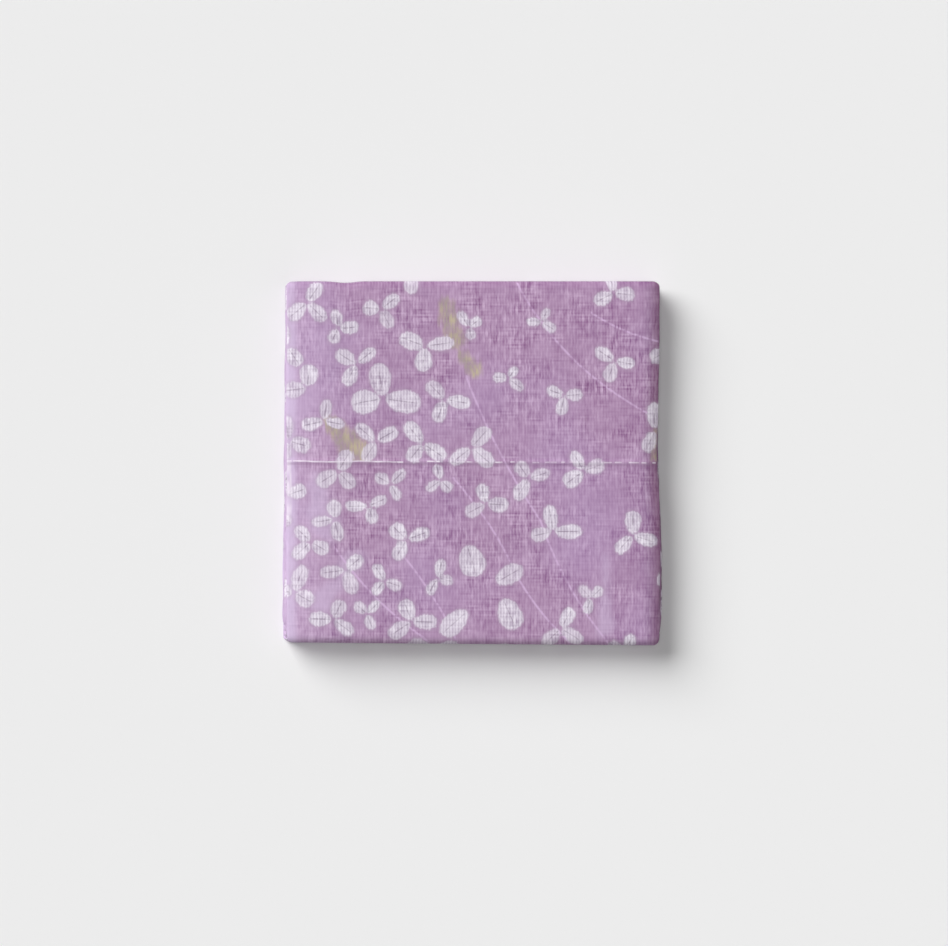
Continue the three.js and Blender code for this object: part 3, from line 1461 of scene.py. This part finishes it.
    def _grain(self, place: FlatPlace) -> ClothGrain:
        """Works out how uneven the cloth is.

        Args:
            place: Where each point lies on the flat cloth.

        Returns:
            The tones of its yarns, its weave and its dye.
        """
        yarns = place.warp(self.yarn_pitch, self.yarn_drift)
        threads = place.warp(self.yarn_pitch / 2, self.thread_drift)
        picks = place.weft(self.pick_pitch / 2, self.pick_drift)
        patchy = self.patchiness.of(place.grain(self.patch_size, 1.0))
        streaks = yarns * self.yarn_share + threads * self.thread_share + picks * self.pick_share
        yarn = place.bench.math("COSINE", place.across * (math.tau / self.yarn_pitch))
        pick = place.bench.math("COSINE", place.along * (math.tau / self.pick_pitch))
        weave = yarn * (pick * self.pick_dip - (1 - self.pick_dip))
        mottle = place.grain(self.mottle_size, 2.0)
        return ClothGrain(yarns, threads, picks, patchy, streaks * patchy, weave, mottle)

    def _ground(self, place: FlatPlace, grain: ClothGrain, face: FaceLines) -> Socket:
        """Colours the dyed ground, with painted shade and a painted highlight near the folds, and its paler
        tones.

        Args:
            place: Where each point lies on the flat cloth.
            grain: How uneven the cloth is there.
            face: Where the folds and the crease lie.

        Returns:
            The ground's colour.
        """
        bench = place.bench
        from_left = abs(place.across - face.left)
        from_right = abs(place.across - face.right)
        from_back = abs(place.along - (face.back - self.back_shade_inset))
        tone = grain.streaks + grain.mottle * self.mottle_share
        tone = tone + grain.weave * grain.patchy * self.weave_share
        # Painted shade towards the right fold and along the back fold
        tone = tone - self.right_shade.of(from_right) - self.back_shade.of(from_back)
        ground = bench.mix(tone + self.ground_level, self.ground_deep, self.ground_pale)
        cool = self.cool_share.of(place.grain(self.cool_size, 1.0))
        ground = bench.mix(cool, ground, self.ground_cool)

        # Paler towards the left fold, with a painted highlight at its edge
        paling = self.left_paling.of(from_left + grain.mottle * self.left_paling_wander)
        paling = paling * self.left_paling_ends.of(place.along - face.crease)
        ground = bench.mix(paling + self.left_edge_highlight.of(from_left), ground, self.ground_paler_and_highlight)
        faint = self.faint_patch.of(bench.read("faint") + grain.mottle * self.faint_wander)
        ground = bench.mix(faint, ground, self.ground_paler_and_highlight)
        # Reddish painted shade on the right fold
        ground = bench.mix(self.right_fold_shade.of(from_right), ground, self.fold_shade)
        return bench.mix(self.leaf_rim.of(bench.read("leaf")), ground, self.ground_thin)

    def _stem(self, bench: NodeBench, grain: ClothGrain) -> Value:
        """How strongly each point is bleached as part of a stem."""
        line = self.stem_line.of(abs(bench.read("stem"))) * self.stem_near.of(bench.read("near_stem"))
        return line * self.stem_breaks.of(grain.streaks)

    def _leaf(self, bench: NodeBench, grain: ClothGrain, colour: Socket) -> Socket:
        """Lays the leaves over the cloth's colour.

        Args:
            bench: The nodes of the material.
            grain: How uneven the cloth is.
            colour: The colour under the leaves.

        Returns:
            The colour with the leaves and their midribs.
        """
        fray = grain.threads * self.leaf_thread_fray + grain.picks * self.leaf_pick_fray
        frayed = bench.read("leaf") + fray
        mask = self.leaf_edge.of(frayed) * bench.read("white")
        tip = bench.read("tip")
        line = self.rib_line.of(abs(bench.read("rib"))) * self.rib_root.of(tip) * self.rib_tip.of(tip)
        bright = grain.weave * self.leaf_weave + grain.streaks * self.leaf_streaks + self.leaf_level
        leaf = bench.mix(bright, self.leaf_dim, self.leaf_pale)
        leaf = bench.mix(line * self.rib_breaks.of(grain.streaks), leaf, self.rib)
        return bench.mix(mask, colour, leaf)

    def _olive(self, bench: NodeBench, grain: ClothGrain, below: Value) -> Value:
        """How strongly the ply underneath shows through, which it does only above the crease."""
        patch = self.olive_patch.of(bench.read("olive") + grain.yarns * self.olive_fray)
        return patch * self.olive_breaks.of(grain.threads) * self.olive_end.of(below)

    def _olive_colour(self, place: FlatPlace, grain: ClothGrain) -> Socket:
        """The olive of the ply underneath, yellower in some yarns."""
        yellow = place.grain(self.olive_grain) * self.olive_grain_share + grain.yarns + self.olive_level
        return place.bench.mix(yellow, self.olive_dim, self.olive_yellow)

    def _left_glint(self, grain: ClothGrain, from_left: Value, below: Value) -> Value:
        """How strongly a painted highlight lies along the left fold, below the crease."""
        glint = self.left_glint_edge.of(from_left) * self.left_glint_start.of(below) * self.left_glint_end.of(below)
        return glint * self.left_glint_breaks.of(grain.yarns)

    def _crease(self, place: FlatPlace, inward: Value, below: Value, colour: Socket) -> Socket:
        """Lays the pale, broken line of the pressed crease over the cloth's colour.

        Args:
            place: Where each point lies on the flat cloth.
            inward: How far to the right of the left fold it lies.
            below: How far in front of the crease.
            colour: The colour under the line.

        Returns:
            The colour with the line, and the painted shade in front of it.
        """
        bench = place.bench
        off = below + place.line(self.crease_swing_length, 0.0, 2.0) * self.crease_swing
        dashes = place.line(self.crease_dash_length, self.crease_dash_row, 1.0)
        drift = place.line(self.crease_drift_length, self.crease_drift_row, 1.0)
        line = self.crease_line.of(abs(off)) * self.crease_dashes.of(dashes + self.crease_whole.of(inward))
        line = line * self.crease_drift.of(drift) * self.crease_dim.of(inward)
        # Painted shade just in front of the crease
        shaded = self.crease_shade.of(abs(off - self.crease_shade_below))
        return bench.mix(line, bench.mix(shaded, colour, self.ground_deep), self.crease)


@dataclass(frozen=True)
class PictureMap:
    """How the whole cloth is laid out on one square picture, with most of its room for the cloth that shows.

    Attributes:
        columns: The left and right side of each panel's column, from the under panel to the inner one, and
            of the plain side's.
        rows: Where the stretches of the face's column start: hidden layers, the back turn, more hidden
            layers, the back wrap, the top layer, the front wrap and the foot, and where the foot ends.
    """

    columns: tuple[tuple[float, float], ...] = (
        (0.865, 0.9),
        (0.775, 0.815),
        (0.0, 0.77),
        (0.82, 0.86),
        (0.905, 0.94),
        (0.945, 1.0),
    )
    rows: tuple[float, ...] = (0.0, 0.04, 0.06, 0.1, 0.16, 0.78, 0.84, 1.0)


@dataclass
class FoldedTowel:
    """The towel: one sheet of cloth in its folds, with its print and weave."""

    name: str = "folded_towel"
    node: str = "towel"
    flat_width: float = CLOTH_WIDTH
    flat_length: float = CLOTH_LENGTH
    face_step: float = 0.6
    wrap_step: float = 0.8
    foot_step: float = 1.6
    side_step: float = 1.2
    sharp_angle: float = 50.0
    strip: Strip = field(default_factory=Strip)
    pack: Pack = field(default_factory=Pack)
    finish: DyedCotton = field(default_factory=DyedCotton)
    picture: PictureMap = field(default_factory=PictureMap)

    def __post_init__(self) -> None:
        """Lays the two routes that fold the cloth."""
        self.across_route = self.strip.route()
        self.along_route = self.pack.route()
        self.across_scale = self.flat_width / self.across_route.length
        self.along_scale = self.flat_length / self.along_route.length

    def _steps(self, across_tags: list[Tag], along_tags: list[Tag]) -> tuple[Array, Array]:
        """Chooses the mesh steps of the cloth's printed side: fine where it shows.

        Args:
            across_tags: What each step of the route across the strip is.
            along_tags: What each step of the route along the strip is.

        Returns:
            The step wanted across each cell and along it, cells across by cells along.
        """
        across = np.full((len(across_tags), len(along_tags)), COARSE_STEP)
        along = across.copy()
        sides = np.array([tag in (Panel.LEFT_FOLD, Panel.RIGHT_FOLD) for tag in across_tags])
        face = np.array([tag is Panel.FACE for tag in across_tags])
        along[sides] = self.side_step
        wanted = {self.pack.top: self.face_step, 1: self.foot_step, FRONT_WRAP: self.wrap_step}
        wanted |= {BACK_WRAP: self.wrap_step, BACK_TURN: self.side_step}
        for column, tag in enumerate(along_tags):
            if tag in wanted:
                across[face, column] = wanted[tag]
                along[face, column] = wanted[tag]
        return across, along

    def place(self, across: Array, along: Array, out: float) -> Array:
        """Finds where points of the cloth lie in the pack.

        Args:
            across: How far each point lies along the route across the strip.
            along: How far it lies along the strip.
            out: How far it stands off the middle of the cloth, towards the printed side.

        Returns:
            The points, a row of right, back and up for each.
        """
        x, through, heading = self.across_route.follow(across)
        y, z, course = self.along_route.follow(along)
        top_start, top_end = (self.along_route.start_of(tag) for tag in (self.pack.top, FRONT_WRAP))
        face_start, face_end = (self.across_route.start_of(tag) for tag in (Panel.FACE, Panel.RIGHT_FOLD))
        shows = (along > top_start) & (along < top_end) & (across > face_start) & (across < face_end)
        through = through + out * np.cos(heading)
        through = through + np.where(shows, self.pack.swell(x, y), 0.0)
        x = x - out * np.sin(heading)
        y = y + through * np.sin(course)
        z = z - through * np.cos(course)
        return np.stack(self.pack.settle(x, y, z), axis=1)

    def build(self) -> bpy.types.Object:
        """Makes the sheet's mesh: its printed side, its plain side, and the narrow edge that joins them.

        Returns:
            The towel, in metres and in its place.
        """
        across_lines, across_tags = self.across_route.lines()
        along_lines, along_tags = self.along_route.lines()
        grid = SheetGrid(across_lines, along_lines)
        plain = np.full((len(across_tags), len(along_tags)), COARSE_STEP)
        sides = [grid.cut(*self._steps(across_tags, along_tags)), grid.cut(plain, plain)]
        points, places, faces, starts = [], [], [], [0]
        half_cloth = self.strip.cloth_thickness / 2
        for (across, along, rings, _), out in zip(sides, (half_cloth, -half_cloth)):
            points.append(self.place(across, along, out))
            places.append(np.stack([across * self.across_scale, along * self.along_scale], axis=1))
            base = starts[-1]
            turn = 1 if out > 0 else -1
            faces += [[base + corner for corner in ring[::turn]] for ring in rings]
            starts.append(base + len(across))
        faces += self._edges(sides[0][3], sides[1][3], starts[1], grid.finest)
        points = np.concatenate(points)
        places = np.concatenate(places)
        low, high = CAD_BOX
        middle = (points.min(axis=0) + points.max(axis=0)) / 2
        points[:, 0] += (low.x + high.x) / 2 / MM - middle[0]
        points[:, 1] += (low.y + high.y) / 2 / MM - middle[1]

        mesh = bpy.data.meshes.new(self.name)
        mesh.from_pydata(points * MM, [], faces)
        mesh.update()
        self._carry(mesh, places, starts[1])
        self._lay_picture(mesh, places, len(sides[0][2]), len(sides[1][2]))
        mesh.polygons.foreach_set("use_smooth", np.ones(len(mesh.polygons), bool))
        mesh.set_sharp_from_angle(angle=math.radians(self.sharp_angle))
        towel = bpy.data.objects.new(self.name, mesh)
        bpy.context.scene.collection.objects.link(towel)
        return towel

    @staticmethod
    def _edges(printed: Array, plain: Array, base: int, step: int) -> list[list[int]]:
        """Makes the cloth's thin edge all round.

        Args:
            printed: The printed side's map from finest places to corners.
            plain: The plain side's.
            base: How many points come before the plain side's.
            step: How many finest places there are in a cell.

        Returns:
            A face for each mesh step along the cut ends and selvedges.
        """
        faces = []
        borders = (
            (printed[:, 0], plain[:, 0], 1),
            (printed[:, -1], plain[:, -1], -1),
            (printed[0], plain[0], -1),
            (printed[-1], plain[-1], 1),
        )
        for upper, lower, turn in borders:
            for start in range(0, len(upper) - 1, step):
                run = upper[start : start + step + 1]
                ring = [base + int(lower[start]), base + int(lower[start + step])]
                ring += [int(corner) for corner in run[::-1] if corner >= 0]
                faces.append(ring[::turn])
        return faces

    @staticmethod
    def _corner_points(mesh: bpy.types.Mesh) -> Array:
        """Reads which point lies at each corner of each face.

        Args:
            mesh: The sheet.

        Returns:
            The points' numbers, face by face.
        """
        corners = np.zeros(len(mesh.loops), np.int32)
        mesh.loops.foreach_get("vertex_index", corners)
        return corners

    def _carry(self, mesh: bpy.types.Mesh, places: Array, printed: int) -> None:
        """Stores each point's place on the flat cloth, and the print there, on the mesh.

        Args:
            mesh: The sheet.
            places: Each point's place across and along the flat cloth.
            printed: How many points the printed side has. They come first.
        """
        flat = mesh.uv_layers.new(name="flat")
        flat.data.foreach_set("uv", (places[self._corner_points(mesh)] * MM).astype(np.float32).ravel())
        for name, values in self.leaf_print().measure(*places[:printed].T).items():
            bare = np.full(len(places), LeafPrint.reach if name in ("leaf", "olive", "faint") else 0.0)
            bare[:printed] = values
            mesh.attributes.new(name, "FLOAT", "POINT").data.foreach_set("value", bare.astype(np.float32))

    def _lay_picture(self, mesh: bpy.types.Mesh, places: Array, printed: int, plain: int) -> None:
        """Lays the cloth out on the picture that its colours can be kept in.

        Args:
            mesh: The sheet, with its printed side's faces first, then its plain side's, then its edge's.
            places: Each point's place across and along the flat cloth.
            printed: How many faces the printed side has.
            plain: How many faces the plain side has.
        """
        panels = np.array([self.across_route.start_of(panel) * self.across_scale for panel in Panel])
        stops = (FOLDS[0].start, BACK_TURN, BACK_TURN.end, BACK_WRAP)
        stops += (self.pack.top, FRONT_WRAP, FRONT_WRAP.end)
        rows = [self.along_route.start_of(stop) * self.along_scale for stop in stops]
        totals = np.zeros(len(mesh.polygons), np.int32)
        mesh.polygons.foreach_get("loop_total", totals)
        across, along = places[self._corner_points(mesh)].T
        middles = np.add.reduceat(across, np.cumsum(totals) - totals) / totals
        column = np.searchsorted(panels[1:], middles)
        column[printed : printed + plain] = len(Panel)
        column = np.repeat(column, totals)
        starts = np.append(panels, 0.0)[column]
        ends = np.append(panels[1:], [self.flat_width, self.flat_width])[column]
        left, right = np.array(self.picture.columns)[column].T
        face_up = np.interp(along, [*rows, self.flat_length], self.picture.rows)
        up = np.where(column == list(Panel).index(Panel.FACE), face_up, along / self.flat_length)
        spots = np.stack([left + (right - left) * (across - starts) / (ends - starts), up], axis=1)
        picture = mesh.uv_layers.new(name="OFBake")
        picture.data.foreach_set("uv", spots.astype(np.float32).ravel())

    def _face_place(self) -> tuple[float, float]:
        """Finds the middle of the pack's face.

        Returns:
            Where it lies across and along the flat cloth.
        """
        across = self.across_route.start_of(Panel.FACE) + self.strip.width / 2 - self.strip.ply_pitch
        top = next(stretch for stretch in self.along_route.stretches if stretch.tag == self.pack.top)
        along = self.along_route.start_of(self.pack.top) + top.at[0]
        return across * self.across_scale, along * self.along_scale

    def leaf_print(self) -> LeafPrint:
        """The print, laid out so that its listed parts fall on the pack's face."""
        return LeafPrint(*self._face_place())

    def dress(self, towel: bpy.types.Object) -> None:
        """Gives the towel its cloth, and says what it stands for.

        Args:
            towel: The sheet.
        """
        across, along = self._face_place()
        half = self.strip.width / 2
        back = self.along_route.start_of(self.pack.top) * self.along_scale
        face = FaceLines(across - half, across + half, back, along - self.pack.crease_y)
        towel.data.materials.append(self.finish.material(face))
        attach(towel, "root")
        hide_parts(self.node)


@dataclass(frozen=True)
class Lamp:
    """A broad, even light from far away.

    Attributes:
        name: What it is called.
        source: The direction it comes from.
        share: Its share of the floor's brightness.
        angle: How wide it looks from the floor, in degrees.
    """

    name: str
    source: tuple[float, float, float]
    share: float
    angle: float


@dataclass
class Studio:
    """The pale floor, the soft light from the upper left, and the camera straight above, in metres."""

    floor_size: float = 6.0
    floor_gap: float = 0.05 * MM
    floor_colour: Colour = srgb(236, 236, 236)
    frame_width: float = 0.2935
    aim: tuple[float, float] = (0.00055, -0.0030)
    camera_height: float = 1.6
    sensor_width: float = 36.0
    lamps: tuple[Lamp, ...] = (
        Lamp("key_light", (-0.93, 0.88, 1.0), 0.66, 46.0),
        Lamp("top_light", (0.0, 0.0, 1.0), 0.21, 16.0),
        Lamp("fill_light", (0.7, -0.7, 1.0), 0.08, 60.0),
    )
    sky_share: float = 0.05

    def floor(self) -> bpy.types.Object:
        """Lays the floor just under the towel.

        Returns:
            The floor.
        """
        half, level = self.floor_size / 2, -self.floor_gap
        mesh = bpy.data.meshes.new("floor")
        corners = [(-half, -half, level), (half, -half, level), (half, half, level), (-half, half, level)]
        mesh.from_pydata(corners, [], [(0, 1, 2, 3)])
        floor = bpy.data.objects.new("floor", mesh)
        bpy.context.scene.collection.objects.link(floor)
        bench = NodeBench("pale_floor")
        inputs = {"Base Color": self.floor_colour, "Roughness": 1.0, "Specular IOR Level": 0.0}
        shader = bench.add("ShaderNodeBsdfPrincipled", inputs)
        bench.add("ShaderNodeOutputMaterial", {"Surface": shader.outputs[0]})
        mesh.materials.append(bench.material)
        return floor

    @staticmethod
    def _hang(lamp: Lamp) -> None:
        """Adds one lamp to the scene.

        Args:
            lamp: The lamp.
        """
        light = bpy.data.lights.new(lamp.name, "SUN")
        light.angle = math.radians(lamp.angle)
        source = Vector(lamp.source)
        light.energy = lamp.share * math.pi * source.length / source.z
        hung = bpy.data.objects.new(lamp.name, light)
        hung.rotation_mode = "QUATERNION"
        hung.rotation_quaternion = source.to_track_quat("Z", "Y")
        bpy.context.scene.collection.objects.link(hung)

    def light(self) -> None:
        """Adds the lamps and the faint light all round."""
        for lamp in self.lamps:
            self._hang(lamp)
        world = bpy.data.worlds.new("soft_sky")
        world.use_nodes = True
        sky = world.node_tree.nodes["Background"]
        sky.inputs["Color"].default_value = (1.0, 1.0, 1.0, 1.0)
        sky.inputs["Strength"].default_value = self.sky_share
        bpy.context.scene.world = world
        bpy.context.scene.view_settings.view_transform = "Standard"

    def camera(self, face_height: float) -> None:
        """Sets the camera straight above, so that the frame is its width at the height of the pack's face.

        Args:
            face_height: How high the face is, in metres.
        """
        data = bpy.data.cameras.new("camera")
        data.sensor_width = self.sensor_width
        data.lens = self.sensor_width * (self.camera_height - face_height) / self.frame_width
        camera = bpy.data.objects.new("camera", data)
        camera.location = (*self.aim, self.camera_height)
        bpy.context.scene.collection.objects.link(camera)
        bpy.context.scene.camera = camera


def main() -> None:
    """Builds the towel and the studio round it."""
    logging.basicConfig(level=logging.INFO, format="%(name)s: %(message)s")
    studio = Studio()
    studio.camera(CAD_BOX[1].z)
    studio.light()
    studio.floor()
    log.info("studio ready, for a frame of %d by %d pixels", *FRAME_PIXELS)

    design = FoldedTowel()
    towel = design.build()
    design.dress(towel)
    triangles = sum(len(face.vertices) - 2 for face in towel.data.polygons)
    log.info("%s: %d triangles, for %d packed node", towel.name, triangles, len(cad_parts))


if __name__ == "__main__":
    main()
